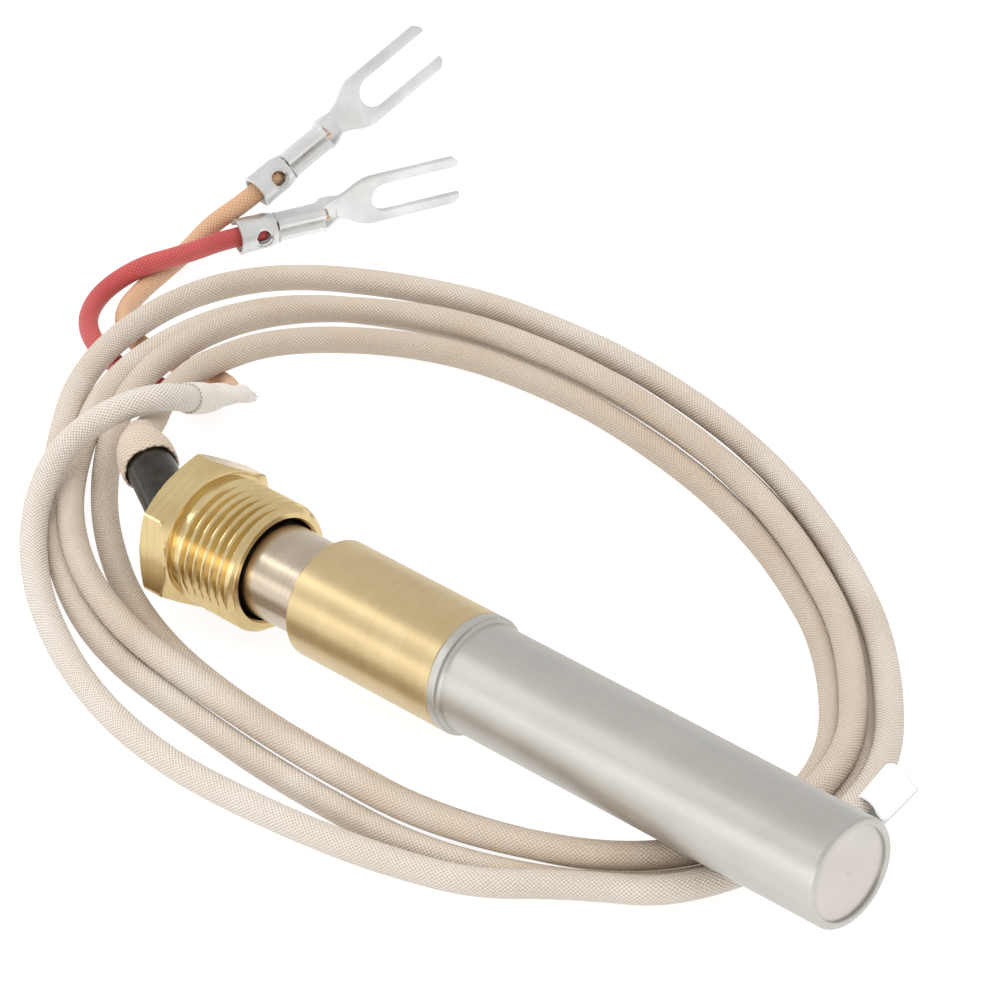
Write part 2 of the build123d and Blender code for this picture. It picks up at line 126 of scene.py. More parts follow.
def add_camera():
    data = bpy.data.cameras.new("camera")
    data.sensor_width = SENSOR_WIDTH
    data.lens = FOCAL_IN_FRAMES * SENSOR_WIDTH
    camera = bpy.data.objects.new("camera", data)
    bpy.context.collection.objects.link(camera)
    forward = CAMERA_FORWARD.normalized()
    right = (CAMERA_RIGHT - CAMERA_RIGHT.dot(forward) * forward).normalized()
    up = right.cross(forward)
    turn = Matrix((right, up, -forward)).transposed().to_4x4()
    camera.matrix_world = Matrix.Translation(to_scene(CAMERA_AT)) @ turn
    bpy.context.scene.camera = camera


def add_area(name, place, target, size, power, mirrored=True):
    """A rectangular lamp; mirrored says whether the metals show its reflection."""
    data = bpy.data.lights.new(name, "AREA")
    data.shape = "RECTANGLE"
    data.size, data.size_y = size
    data.energy = power
    light = bpy.data.objects.new(name, data)
    bpy.context.collection.objects.link(light)
    light.location = place
    light.visible_glossy = mirrored
    light.rotation_euler = (Vector(target) - Vector(place)).to_track_quat("-Z", "Y").to_euler()


def add_world(colour, strength):
    world = bpy.data.worlds.new("studio")
    bpy.context.scene.world = world
    world.use_nodes = True
    background = world.node_tree.nodes["Background"]
    background.inputs["Color"].default_value = (*colour, 1)
    background.inputs["Strength"].default_value = strength


# ---- shader helpers ----

class Shader:
    """A Principled material and short calls for the nodes that feed it."""

    def __init__(self, name, **values):
        self.material = bpy.data.materials.new(name)
        self.material.use_nodes = True
        self.tree = self.material.node_tree
        self.out = self.tree.nodes["Principled BSDF"]
        for socket, value in values.items():
            self.out.inputs[socket.replace("_", " ")].default_value = value
        self.coords = self.add("ShaderNodeTexCoord").outputs["Object"]

    def add(self, kind, **settings):
        node = self.tree.nodes.new(kind)
        for key, value in settings.items():
            setattr(node, key, value)
        return node

    def plug(self, node, **values):
        """Sets or links inputs, called by name with _ for a space, or by number as i0 or i6."""
        for socket, value in values.items():
            numbered = socket[0] == "i" and socket[1:].isdigit()
            target = node.inputs[int(socket[1:]) if numbered else socket.replace("_", " ")]
            if isinstance(value, bpy.types.NodeSocket):
                self.tree.links.new(value, target)
            else:
                target.default_value = value
        return node

    def along_body(self):
        """Coordinates about the thermopile's own axis, in metres."""
        node = self.add("ShaderNodeMapping")
        turn = BODY.inverted()
        place = turn.to_translation()
        return self.plug(node, Vector=self.coords, Location=place, Rotation=turn.to_euler()).outputs[0]

    def scaled(self, vector, scale):
        return self.plug(self.add("ShaderNodeMapping"), Vector=vector, Scale=scale).outputs[0]

    def noise(self, vector, scale, detail=3.0, roughness=0.55):
        node = self.add("ShaderNodeTexNoise")
        return self.plug(node, Vector=vector, Scale=scale, Detail=detail, Roughness=roughness).outputs["Fac"]

    def ramp(self, factor, *stops):
        node = self.add("ShaderNodeValToRGB")
        elements = node.color_ramp.elements
        while len(elements) < len(stops):
            elements.new(0.5)
        for element, (place, colour) in zip(elements, stops):
            element.position = place
            element.color = (*colour, 1)
        return self.plug(node, Fac=factor).outputs["Color"]

    def spread(self, factor, low, high):
        """Maps a 0 to 1 factor to a range."""
        node = self.add("ShaderNodeMapRange")
        return self.plug(node, Value=factor, To_Min=low, To_Max=high).outputs["Result"]

    def mix(self, factor, first, second, blend="MIX"):
        node = self.add("ShaderNodeMix", data_type="RGBA", blend_type=blend)
        return self.plug(node, i0=factor, i6=first, i7=second).outputs[2]

    def maths(self, kind, first, second=0.0):
        node = self.add("ShaderNodeMath", operation=kind)
        return self.plug(node, i0=first, i1=second).outputs[0]

    def blend(self, first, second, share):
        """Adds two factors, the first with the given share and the second with the rest."""
        one = self.maths("MULTIPLY", first, share)
        other = self.maths("MULTIPLY", second, 1 - share)
        return self.maths("ADD", one, other)

    def bump(self, height, distance, strength=1.0, normal=None):
        node = self.add("ShaderNodeBump")
        self.plug(node, Height=height, Distance=distance, Strength=strength)
        if normal is not None:
            self.plug(node, Normal=normal)
        return node.outputs["Normal"]

    def finish(self, **values):
        self.plug(self.out, **values)
        return self.material


# ---- metals ----

RING_SHARE = 0.3        # of the tone of a turned metal; smudges give the rest
MOTTLE_SHARE = 0.6      # of the tone of the steel tube; streaks give the rest


def turned_metal(name, colour, darker, roughness, lines, scratch):
    """Metal with fine lines round the axis, faint smudges and small differences in gloss."""
    shader = Shader(name, Metallic=1.0)
    body = shader.along_body()
    rings = shader.noise(shader.scaled(body, (1, 0.02, 0.02)), lines, 4)
    smudge = shader.noise(body, 130, 4, 0.6)
    wide = shader.noise(body, 35, 2)
    base = shader.ramp(shader.blend(rings, smudge, RING_SHARE), (0.3, darker), (0.62, colour))
    gloss = shader.maths("ADD", shader.spread(wide, roughness - 0.05, roughness + 0.05),
                         shader.spread(rings, -0.04, 0.04))
    normal = shader.bump(rings, scratch * MM)
    return shader.finish(Base_Color=base, Roughness=gloss, Normal=normal)


def tube_steel():
    """Drawn and satin-polished steel: long soft streaks and faint mottling."""
    shader = Shader("tube_steel", Metallic=1.0)
    body = shader.along_body()
    streaks = shader.noise(shader.scaled(body, (0.06, 1, 1)), 900, 3)
    rings = shader.noise(shader.scaled(body, (1, 0.03, 0.03)), 1500, 3)
    mottle = shader.noise(body, 90, 5, 0.65)
    tone = shader.blend(mottle, streaks, MOTTLE_SHARE)
    base = shader.ramp(tone, (0.3, (0.49, 0.475, 0.44)), (0.7, (0.57, 0.555, 0.515)))
    gloss = shader.maths("ADD", shader.spread(mottle, 0.36, 0.50), shader.spread(rings, -0.03, 0.03))
    normal = shader.bump(rings, 0.004 * MM, 1.0, shader.bump(mottle, 0.02 * MM))
    return shader.finish(Base_Color=base, Roughness=gloss, Normal=normal)


def disc_steel():
    """The hot end's disc: mottled steel with a faint pink heat tint in patches."""
    shader = Shader("disc_steel", Metallic=1.0)
    body = shader.along_body()
    mottle = shader.noise(body, 160, 4, 0.6)
    patch = shader.noise(body, 60, 1)
    steel = shader.ramp(mottle, (0.3, (0.51, 0.495, 0.46)), (0.7, (0.62, 0.60, 0.555)))
    base = shader.mix(shader.spread(patch, 0.0, 0.8), steel, (0.60, 0.54, 0.49, 1))
    gloss = shader.spread(mottle, 0.30, 0.46)
    return shader.finish(Base_Color=base, Roughness=gloss, Normal=shader.bump(mottle, 0.03 * MM))


def tin():
    """Matte tin plate with small dents and rubbed patches."""
    shader = Shader("tin", Metallic=0.9)
    fine = shader.noise(shader.coords, 900, 4, 0.6)
    wide = shader.noise(shader.coords, 160, 3)
    base = shader.ramp(wide, (0.3, (0.62, 0.62, 0.61)), (0.7, (0.80, 0.80, 0.79)))
    gloss = shader.spread(fine, 0.30, 0.48)
    normal = shader.bump(wide, 0.06 * MM, 1.0, shader.bump(fine, 0.012 * MM))
    return shader.finish(Base_Color=base, Roughness=gloss, Normal=normal)


def dark_tubing():
    """Glossy black tubing with faint ripples and dust."""
    shader = Shader("dark_tubing", Specular_IOR_Level=0.35)
    fine = shader.noise(shader.coords, 700, 3)
    wide = shader.noise(shader.coords, 130, 3)
    base = shader.ramp(fine, (0.35, (0.009, 0.007, 0.004)), (0.75, (0.030, 0.022, 0.013)))
    gloss = shader.spread(wide, 0.16, 0.30)
    return shader.finish(Base_Color=base, Roughness=gloss, Normal=shader.bump(wide, 0.05 * MM))


def plain_mineral(name, light, dark, scale, roughness=0.9):
    """Ceramic, mica, cement or fibre: speckled and matt."""
    shader = Shader(name)
    speck = shader.noise(shader.coords, scale, 5, 0.65)
    base = shader.ramp(speck, (0.3, dark), (0.7, light))
    return shader.finish(Base_Color=base, Roughness=shader.spread(speck, roughness - 0.1, roughness),
                         Normal=shader.bump(speck, 0.03 * MM))


# ---- braid ----

CORD_WEAVE = (22, 13 * MM)      # yarns each way round, and the length of one turn of a yarn
LEAD_WEAVE = (14, 9 * MM)
WHOLE_BRAID = 1.475             # metres
BLEACHED = (0.86, 0.84, 0.80, 1)


def braid(name, light, dark, gap, weave, gloss, relief, whole=0.0):
    """Braided yarn: two crossing sets of yarns over UV, where U is the length in metres and V the way round.

    Given its whole length, it goes from browned at its start to bleached at its end. The gap colour is
    painted shade, laid in the hollows where the weave is low between the yarns.
    """
    carriers, pitch = weave
    shader = Shader(name, Sheen_Weight=0.08, Sheen_Roughness=0.5)
    uv = shader.add("ShaderNodeUVMap", uv_map="braid").outputs[0]
    split = shader.plug(shader.add("ShaderNodeSeparateXYZ"), Vector=uv)
    along = shader.maths("DIVIDE", split.outputs[0], pitch)
    round_ = split.outputs[1]
    first = shader.maths("MULTIPLY", shader.maths("ADD", round_, along), carriers)
    second = shader.maths("MULTIPLY", shader.maths("SUBTRACT", round_, along), carriers)
    waves = [shader.maths("SINE", shader.maths("MULTIPLY", lane, math.pi)) for lane in (first, second)]
    ridges = [shader.maths("POWER", shader.maths("ABSOLUTE", wave), 0.7) for wave in waves]
    crossing = shader.maths("MULTIPLY", waves[0], waves[1])
    check = shader.maths("ADD", shader.maths("MULTIPLY", crossing, 0.5), 0.5)
    height = shader.maths("MAXIMUM", shader.maths("MULTIPLY", ridges[0], check),
                          shader.maths("MULTIPLY", ridges[1], shader.maths("SUBTRACT", 1.0, check)))
    fibres = shader.noise(shader.scaled(uv, (1 / pitch, 9, 1)), 40, 2)
    stain = shader.noise(shader.coords, 45, 3, 0.6)
    tone = shader.ramp(stain, (0.35, light), (0.75, dark))
    if whole:
        share = shader.maths("DIVIDE", split.outputs[0], whole)
        browned = shader.ramp(share, (0.0, (0.62, 0.62, 0.62)), (0.5, (0.0, 0.0, 0.0)))
        bleached = shader.ramp(share, (0.7, (0.0, 0.0, 0.0)), (1.0, (0.7, 0.7, 0.7)))
        tone = shader.mix(browned, tone, (*dark, 1))
        tone = shader.mix(bleached, tone, BLEACHED)
    # Painted shade: where the weave is low, between the yarns, the colour goes over to the gap colour.
    base = shader.mix(shader.ramp(height, (0.12, (1, 1, 1)), (0.62, (0, 0, 0))), tone, (*gap, 1))
    base = shader.mix(shader.spread(fibres, 0.0, 0.3), base, (*dark, 1))
    normal = shader.bump(height, relief * MM, 0.9, shader.bump(fibres, 0.03 * MM))
    return shader.finish(Base_Color=base, Roughness=gloss, Normal=normal)


# ---- curves and tubes ----

def smooth_line(name, points):
    """Evenly spaced points along the NURBS spline of a route."""
    curve = bpy.data.curves.new(name, "CURVE")
    curve.dimensions = "3D"
    curve.resolution_u = 24
    spline = curve.splines.new("NURBS")
    spline.points.add(len(points) - 1)
    for target, point in zip(spline.points, points):
        target.co = (*to_scene(point), 1)
    spline.order_u = 3
    spline.use_endpoint_u = True
    holder = bpy.data.objects.new(name, curve)
    mesh = bpy.data.meshes.new_from_object(holder)
    line = np.array([vertex.co[:] for vertex in mesh.vertices])
    bpy.data.objects.remove(holder)
    bpy.data.curves.remove(curve)
    bpy.data.meshes.remove(mesh)
    return line


def ease(share):
    """A share held between 0 and 1, with a gentle start and end."""
    share = min(1.0, max(0.0, share))
    return share * share * (3 - 2 * share)


def soften(path, rounds):
    """Rounds off a path in place; its two ends stay."""
    for _ in range(rounds):
        path[1:-1] = (path[:-2] + 2 * path[1:-1] + path[2:]) / 4


def evenly(line, step):
    """The same line with points a fixed step apart, and their distances along it."""
    lengths = np.concatenate([[0], np.cumsum(np.linalg.norm(np.diff(line, axis=0), axis=1))])
    count = max(2, int(round(lengths[-1] / step)) + 1)
    at = np.linspace(0, lengths[-1], count)
    return np.stack([np.interp(at, lengths, line[:, axis]) for axis in range(3)], axis=1), at


def frames_along(line):
    """Two crosswise axes along a line, carried along without twist."""
    tangents = np.gradient(line, axis=0)
    tangents /= np.linalg.norm(tangents, axis=1)[:, None]
    side = np.cross(tangents[0], (0, 0, 1))
    side /= np.linalg.norm(side)
    sides = []
    for tangent in tangents:
        side = side - tangent * np.dot(side, tangent)
        side /= np.linalg.norm(side)
        sides.append(side)
    sides = np.array(sides)
    return sides, np.cross(tangents, sides)


def tube_mesh(name, line, distances, profile, around, relief=None, caps=True):
    """A tube along a line. profile(t) gives its two half widths in mm, relief(u, v) a height in mm."""
    sides, ups = frames_along(line)
    angles = np.arange(around) / around
    cosines = np.cos(2 * np.pi * angles)
    sines = np.sin(2 * np.pi * angles)
    total = distances[-1]
    verts = []
    for index, centre in enumerate(line):
        wide, tall = profile(distances[index] / MM, total / MM)
        height = relief(distances[index], angles) if relief else np.zeros(around)
        out = sides[index][None, :] * (cosines * (wide + height))[:, None]
        out = out + ups[index][None, :] * (sines * (tall + height))[:, None]
        verts.append(centre + out * MM)
    verts = np.concatenate(verts)
    faces = []
    rings = len(line)
    for ring in range(rings - 1):
        low = ring * around
        high = low + around
        for spot in range(around):
            after = (spot + 1) % around
            faces.append((low + spot, high + spot, high + after, low + after))
    if caps:
        faces.append(tuple(range(around)))
        faces.append(tuple(reversed(range((rings - 1) * around, rings * around))))
    mesh = bpy.data.meshes.new(name)
    mesh.from_pydata(verts.tolist(), [], faces)
    layer = mesh.uv_layers.new(name="braid")
    corner = np.zeros(len(mesh.loops), dtype=np.int64)
    mesh.loops.foreach_get("vertex_index", corner)
    uv = np.zeros((len(mesh.loops), 2))
    uv[:, 0] = np.repeat(distances, around)[corner]
    uv[:, 1] = np.tile(angles, rings)[corner]
    closing = np.arange(around - 1, (rings - 1) * around, around)    # the faces that close each ring
    for offset in (2, 3):
        uv[closing * 4 + offset, 1] = 1.0
    layer.data.foreach_set("uv", uv.ravel())
    mesh.polygons.foreach_set("use_smooth", [True] * len(mesh.polygons))
    mesh.update()
    return mesh


def add_object(name, mesh, material, body="thermopile"):
    piece = bpy.data.objects.new(name, mesh)
    bpy.context.collection.objects.link(piece)
    mesh.materials.append(material)
    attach(piece, body)
    return piece


def add_wall(piece, name, thickness, offset=-1.0):
    """Gives an open surface a wall in millimetres, inwards unless the offset is 1."""
    wall = piece.modifiers.new(name, "SOLIDIFY")
    wall.thickness = thickness * MM
    wall.offset = offset


# ---- lead: one braid from its mouth to its frayed tail ----

def coil_route():
    """Control points of the loose turns, clockwise from where the cord joins them to where it leaves."""
    points = []
    last = LAST_TURN * COIL_STEPS + (FIRST_STEP - LAST_STEP) % COIL_STEPS
    for step in range(last + 1):
        turn, along = divmod(step, COIL_STEPS)
        place = (FIRST_STEP - step) % COIL_STEPS
        change = LANE_CHANGE.get(along, 0.0) if turn < LAST_TURN else 0.0
        after = min(turn + 1, LAST_TURN)
        share = COIL_SHARES[turn] * (1 - change) + COIL_SHARES[after] * change
        level = COIL_LEVELS[turn] * (1 - change) + COIL_LEVELS[after] * change
        height = max(level, OVER_LEADS.get(place, 0.0))
        reach = COIL_INNER[place] + share * (COIL_OUTER[place] - COIL_INNER[place])
        reach = reach * CONTROL_REACH - LIFT_INWARD * (height - level)
        if turn == 0:
            reach -= BESIDE_NUT.get(place, 0.0)
        angle = 2 * math.pi * place / COIL_STEPS
        x = COIL_CENTRE[0] + reach * math.cos(angle)
        y = COIL_CENTRE[1] + reach * math.sin(angle)
        points.append((x, y, height))
    return points


def round_profile(diameter):
    """A cord that is never quite round: its two half widths swing by up to 2 per cent."""
    def profile(at, total):
        wave = 0.02 * math.sin(at / 3.1) + 0.02 * math.sin(at / 7.7 + 1.0)
        return diameter / 2 * (1 + wave * 0.5), diameter / 2 * (1 - wave * 0.5)
    return profile


def add_main_cord(material):
    route = CORD_START + coil_route() + OUTER_LOOP
    line, at = evenly(smooth_line("lead_route", route), CORD_STEP * MM)
    mesh = tube_mesh("braided_lead", line, at, round_profile(CORD_D), CORD_AROUND)
    piece = add_object("braided_lead", mesh, material)
    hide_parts("cord_start", "cord_coil", "cord_outer_loop")
    return piece, line, at[-1]


MOUTH_REACH = 5.0       # straight part over the black tube
MOUTH_R = 3.62
MOUTH_END_R = CORD_D / 2 + 0.04
MOUTH_WALL = 0.3
MOUTH_AROUND = 48


def add_braid_mouth(line, material):
    """The braid opened over the black tube, gathered down to the cord."""
    start = BODY @ Vector((STUB_BEND * MM, 0, 0)) + STUB_DIRECTION * STUB_SHOWN * MM
    points = [start]
    for share in (0.25, 0.5, 0.75):
        points.append(start + STUB_DIRECTION * MOUTH_REACH * MM * share)
    points += [Vector(point) for point in line[1:9]]
    path = np.array([point[:] for point in points])
    path, at = evenly(path, 0.2 * MM)
    soften(path, 30)
    total = at[-1] / MM

    def profile(place, _):
        radius = MOUTH_R + (MOUTH_END_R - MOUTH_R) * ease((place - 1.6) / (total - 2.6))
        lip = 0.12 * max(0.0, 1 - place / 0.5)
        return radius - lip, radius - lip

    def relief(place, angles):
        near = max(0.0, 1 - place / MM / 3.0)
        round_ = 2 * np.pi * angles
        return 0.10 * near * np.sin(round_ * 5 + 1.0) + 0.05 * near * np.sin(round_ * 11)

    mesh = tube_mesh("braid_mouth_sleeve", path, at, profile, MOUTH_AROUND, relief, caps=False)
    piece = add_object("braid_mouth_sleeve", mesh, material)
    add_wall(piece, "wall", MOUTH_WALL)
    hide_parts("braid_mouth")
    return piece


TAIL_AROUND = 40
TAIL_WALL = 0.28
TAIL_ROUND = 4.0        # length that keeps the cord's round shape
TAIL_FLATTENING = 7.0   # length over which it then goes flat
TAIL_WIDER = 0.75
TAIL_LOWER = 0.95
TAIL_RAGGED = 5.0       # length that waves before the cut


def add_tail(line, material):
    """The empty end of the braid: flattened, opened and frayed at the cut."""
    rng = random.Random(7)
    back = [Vector(point) for point in line[-14:-1]]
    end = to_scene(TAIL_END)
    middle = (back[-1] + end) / 2 + Vector((0, 0, 0.5)) * MM
    path = np.array([point[:] for point in back + [back[-1] * 0.5 + middle * 0.5, middle, end]])
    path, at = evenly(path, 0.25 * MM)
    soften(path, 60)
    total = at[-1] / MM

    def profile(place, _):
        flat = ease((place - TAIL_ROUND) / TAIL_FLATTENING)
        radius = CORD_D / 2 + 0.05 * min(1.0, place)
        spread = 1.0 + 0.06 * math.sin(place * 1.3) if flat else 1
        return (radius + TAIL_WIDER * flat) * spread, radius - TAIL_LOWER * flat

    def relief(place, angles):
        late = max(0.0, (place / MM - total + TAIL_RAGGED) / TAIL_RAGGED)
        round_ = 2 * np.pi * angles
        return 0.16 * late * np.sin(round_ * 4 + 0.5) + 0.08 * late * np.sin(round_ * 9)

    mesh = tube_mesh("braid_tail", path, at, profile, TAIL_AROUND, relief, caps=False)
    for vertex in mesh.vertices[-TAIL_AROUND:]:
        vertex.co += (Vector(path[-1]) - Vector(path[-3])).normalized() * rng.uniform(-0.7, 0.5) * MM
    piece = add_object("braid_tail", mesh, material)
    add_wall(piece, "wall", TAIL_WALL)
    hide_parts("sleeve_tail")
    return piece, path


FRAY_COUNT = 46
FRAY_R = 0.07
FRAY_POINTS = 5
CUT_HALF_WIDTH = 2.2
CUT_HALF_HEIGHT = 0.75
FRAY_ROOT = 0.8         # how far inside the cut a fibre starts


def add_frays(path, material):
    """Loose fibres at the cut end of the braid."""
    rng = random.Random(11)
    end = Vector(path[-1])
    along = (Vector(path[-1]) - Vector(path[-8])).normalized()
    side = along.cross(Vector((0, 0, 1))).normalized()
    up = side.cross(along)
    curve = bpy.data.curves.new("frays", "CURVE")
    curve.dimensions = "3D"
    curve.bevel_depth = FRAY_R * MM
    curve.bevel_resolution = 1
    for _ in range(FRAY_COUNT):
        angle = rng.uniform(0, 2 * math.pi)
        rim = side * math.cos(angle) * CUT_HALF_WIDTH + up * math.sin(angle) * CUT_HALF_HEIGHT
        root = end + rim * MM - along * FRAY_ROOT * MM
        reach = rng.uniform(0.9, 2.4)
        drift = side * rng.uniform(-0.5, 0.5) + up * rng.uniform(-0.25, 0.35)
        spline = curve.splines.new("POLY")
        spline.points.add(FRAY_POINTS - 1)
        for index in range(FRAY_POINTS):
            share = index / (FRAY_POINTS - 1)
            place = root + (along * reach * share + drift * share * share) * MM
            place.z = max(place.z, 0.09 * MM)
            spline.points[index].co = (*place, 1)
            spline.points[index].radius = 1.0 - 0.6 * share
    holder = bpy.data.objects.new("tail_frays", curve)
    bpy.context.collection.objects.link(holder)
    mesh = bpy.data.meshes.new_from_object(holder)
    bpy.data.objects.remove(holder)
    piece = add_object("tail_frays", mesh, material)
    return piece


def add_lead(name, node, route, fork, material):
    origin = Vector(fork[0])
    axis = Vector(fork[1]).normalized()
    points = route + [tuple(origin - axis * LEAD_BEFORE_FORK), tuple(origin + axis * LEAD_IN_FORK)]
    line, at = evenly(smooth_line(name + "_route", points), LEAD_STEP * MM)
    piece = add_object(name, tube_mesh(name, line, at, round_profile(LEAD_D), LEAD_AROUND), material)
    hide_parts(node)
    return piece, line, at[-1]


# ---- fork terminals, in millimetres along, across and above their own axis ----

PLATE_BACK = -1.7
PLATE_FACE = -0.9
NECK_END = 12.6
NECK_HALF = 1.75
TINE_END = 34.5
TINE_WIDTH = 1.7
SLOT_BOTTOM = 21.0
SLOT_HALF = 2.25
SIDE_R = 0.8
WING_R = 0.85
WRAP_LENGTH = 5.5
WRAP_HALF_WIDTH = 2.05
WRAP_HALF_HEIGHT = 2.2
WRAP_WALL = 0.45
SIGHT_HOLE = (3.4, 0.2)
HOLE_CLEARED = 1.02     # faces whose middle is nearer than this are left out
HOLE_RIM = 1.08         # points beside the edge are drawn on to this radius
BARREL = [              # along, half width, top, bottom, depth of the seam
    (5.9, 1.95, 1.9, -1.75, 0.1), (6.5, 1.8, 1.62, -1.7, 0.35), (9.6, 1.8, 1.58, -1.7, 0.4),
    (12.4, 1.8, 1.62, -1.7, 0.35), (13.0, 1.98, 1.9, -1.72, 0.1),
]
NECK = [                # along, top of the sides, half width
    (12.9, 0.9, 1.98), (13.6, 0.55, 2.15), (14.4, 0.0, 2.1), (15.3, -0.55, 1.95), (16.0, -0.88, 1.8),
]

def mesh_from(name, build):
    shape = bmesh.new()
    build(shape)
    bmesh.ops.recalc_face_normals(shape, faces=shape.faces)
    mesh = bpy.data.meshes.new(name)
    shape.to_mesh(mesh)
    shape.free()
    return mesh


def prism(shape, outline, low, high):
    """A flat plate from an outline in millimetres."""
    bottom = [shape.verts.new((x * MM, y * MM, low * MM)) for x, y in outline]
    top = [shape.verts.new((x * MM, y * MM, high * MM)) for x, y in outline]
    count = len(outline)
    shape.faces.new(list(reversed(bottom)))
    shape.faces.new(top)
    for index in range(count):
        after = (index + 1) % count
        shape.faces.new((bottom[index], bottom[after], top[after], top[index]))


def skin(shape, sections):
    """A closed skin through sections of equal length, each a list of points in millimetres."""
    rings = [[shape.verts.new([c * MM for c in point]) for point in section] for section in sections]
    count = len(rings[0])
    for first, second in zip(rings, rings[1:]):
        for index in range(count):
            after = (index + 1) % count
            shape.faces.new((first[index], first[after], second[after], second[index]))
    shape.faces.new(list(reversed(rings[0])))
    shape.faces.new(rings[-1])


def bezier(first, second, third, fourth, count):
    points = []
    for index in range(count + 1):
        t = index / count
        s = 1 - t
        points.append(tuple(s ** 3 * a + 3 * s * s * t * b + 3 * s * t * t * c + t ** 3 * d
                            for a, b, c, d in zip(first, second, third, fourth)))
    return points


def fork_outline():
    slot = SLOT_HALF
    half = slot + TINE_WIDTH
    bottom = SLOT_BOTTOM + slot
    side = [(NECK_END, NECK_HALF)] + bezier((15.2, NECK_HALF), (17.6, 1.95), (18.2, 3.6), (20.8, half), 12)
    side += [(TINE_END - 0.9, half), (TINE_END, half - 0.9), (TINE_END, slot + 0.02)]
    quarter = np.linspace(math.pi / 2, math.pi, 10)
    inside = [(bottom + slot * math.cos(angle), slot * math.sin(angle)) for angle in quarter]
    upper = side + inside
    lower = [(x, -y) for x, y in reversed(upper[:-1])]
    return upper + lower


def barrel_section(x, half_width, top, bottom, seam):
    """Crimped barrel across its length: flat back, rounded sides, and two wings that meet in a seam."""
    points = []
    for angle in np.linspace(-0.5 * math.pi, 0.0, 6):
        across = half_width - SIDE_R + SIDE_R * math.cos(angle)
        points.append((x, across, bottom + SIDE_R + SIDE_R * math.sin(angle)))
    for angle in np.linspace(0.0, math.pi * 0.75, 9):
        across = half_width - WING_R + WING_R * math.cos(angle)
        points.append((x, across, top - WING_R + WING_R * math.sin(angle)))
    points.append((x, 0.05, top - 0.6 - seam))
    mirrored = [(x, -y, z) for _, y, z in reversed(points)]
    return points + mirrored


def add_fork(name, node, place, material):
    """Stamped and crimped terminal: wrap with a sight hole, wire barrel, open neck and forked plate."""

    def plate(shape):
        prism(shape, fork_outline(), PLATE_BACK, PLATE_FACE)

    def barrel(shape):
        skin(shape, [barrel_section(*values) for values in BARREL])

    def neck(shape):
        rows = []
        floor = PLATE_FACE + 0.02
        for x, high, half in NECK:
            near = [(x, half, PLATE_BACK), (x, half, high), (x, half - 0.45, high), (x, half - 0.6, floor)]
            rows.append(near + [(x, -y, z) for _, y, z in reversed(near)])
        skin(shape, rows)

    def wrap(shape):
        hole = Vector(SIGHT_HOLE)
        rings = []
        for station in np.linspace(0.0, WRAP_LENGTH, 34):
            flare = 0.12 * max(0.0, 1 - station / 0.8) - 0.25 * max(0.0, (station - 4.4) / 1.1)
            ring = []
            # The seam, from 1.91 round to 0.09 half turns, lies on the plate's side.
            for angle in np.linspace(0.09, 1.91, 58) * math.pi:
                turn = angle - math.pi / 2
                x = station
                y = (WRAP_HALF_WIDTH + flare) * math.cos(turn)
                z = (WRAP_HALF_HEIGHT + flare) * math.sin(turn)
                gap = Vector((x, y)) - hole
                if z > 0 and 0.75 < gap.length < 1.2:
                    gap = gap.normalized() * HOLE_RIM
                    x, y = hole.x + gap.x, hole.y + gap.y
                ring.append(shape.verts.new((x * MM, y * MM, z * MM)))
            rings.append(ring)
        for first, second in zip(rings, rings[1:]):
            for index in range(len(first) - 1):
                corners = (first[index], first[index + 1], second[index + 1], second[index])
                middle = sum((corner.co for corner in corners), Vector()) / 4 / MM
                if middle.z > 0 and (Vector((middle.x, middle.y)) - hole).length < HOLE_CLEARED:
                    continue
                shape.faces.new(corners)

    origin, axis, face = (Vector(value) for value in place)
    axis.normalize()
    face = (face - axis * face.dot(axis)).normalized()
    turn = Matrix((axis, face.cross(axis), face)).transposed().to_4x4()
    at = Matrix.Translation(to_scene(origin)) @ turn
    parts = []
    for build, wall, rounding in ((barrel, 0, 0.1), (neck, 0, 0.1), (wrap, WRAP_WALL, 0.1), (plate, 0, 0.16)):
        mesh = mesh_from(name + "_" + build.__name__, build)
        part = bpy.data.objects.new(mesh.name, mesh)
        bpy.context.collection.objects.link(part)
        mesh.materials.append(material)
        if wall:
            add_wall(part, "wall", wall, 1.0)
        edge = part.modifiers.new("edge", "BEVEL")
        edge.width = rounding * MM
        edge.segments = 3
        edge.limit_method = "ANGLE"
        edge.angle_limit = math.radians(50)
        parts.append(part)
    body = join(parts, name)
    body.data.transform(at)
    body.data.set_sharp_from_angle(angle=math.radians(35))
    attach(body, "thermopile")
    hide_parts(node)
    return body


def join(parts, name):
    """One object from several, with their modifiers applied."""
    graph = bpy.context.evaluated_depsgraph_get()
    shape = bmesh.new()
    material = parts[0].data.materials[0]
    for part in parts:
        mesh = bpy.data.meshes.new_from_object(part.evaluated_get(graph))
        shape.from_mesh(mesh)
        bpy.data.meshes.remove(mesh)
    for part in parts:
        bpy.data.objects.remove(part)
    mesh = bpy.data.meshes.new(name)
    shape.to_mesh(mesh)
    shape.free()
    mesh.materials.append(material)
    mesh.polygons.foreach_set("use_smooth", [True] * len(mesh.polygons))
    piece = bpy.data.objects.new(name, mesh)
    bpy.context.collection.objects.link(piece)
    return piece


# ---- adapter nut ----

NUT_FRONT = -33.1
NUT_HEX_FRONT = -44.5
NUT_REAR = -49.5
NUT_AF = 19.0
NUT_TURN = math.radians(55.2)
THREAD_R = 8.9
THREAD_PITCH = 1.5
THREAD_DEPTH = 0.92
THREAD_LAST = -42.9
NUT_COLLAR_R = 8.55
COUNTERBORE_R = 7.05
NUT_BORE_R = 6.56
LEAD_IN = 0.85
CORNER_SHARPNESS = 90   # a higher power gives sharper corners
NUT_AROUND = 240
THREAD_STEP = 0.05
HEX_STEP = 0.125


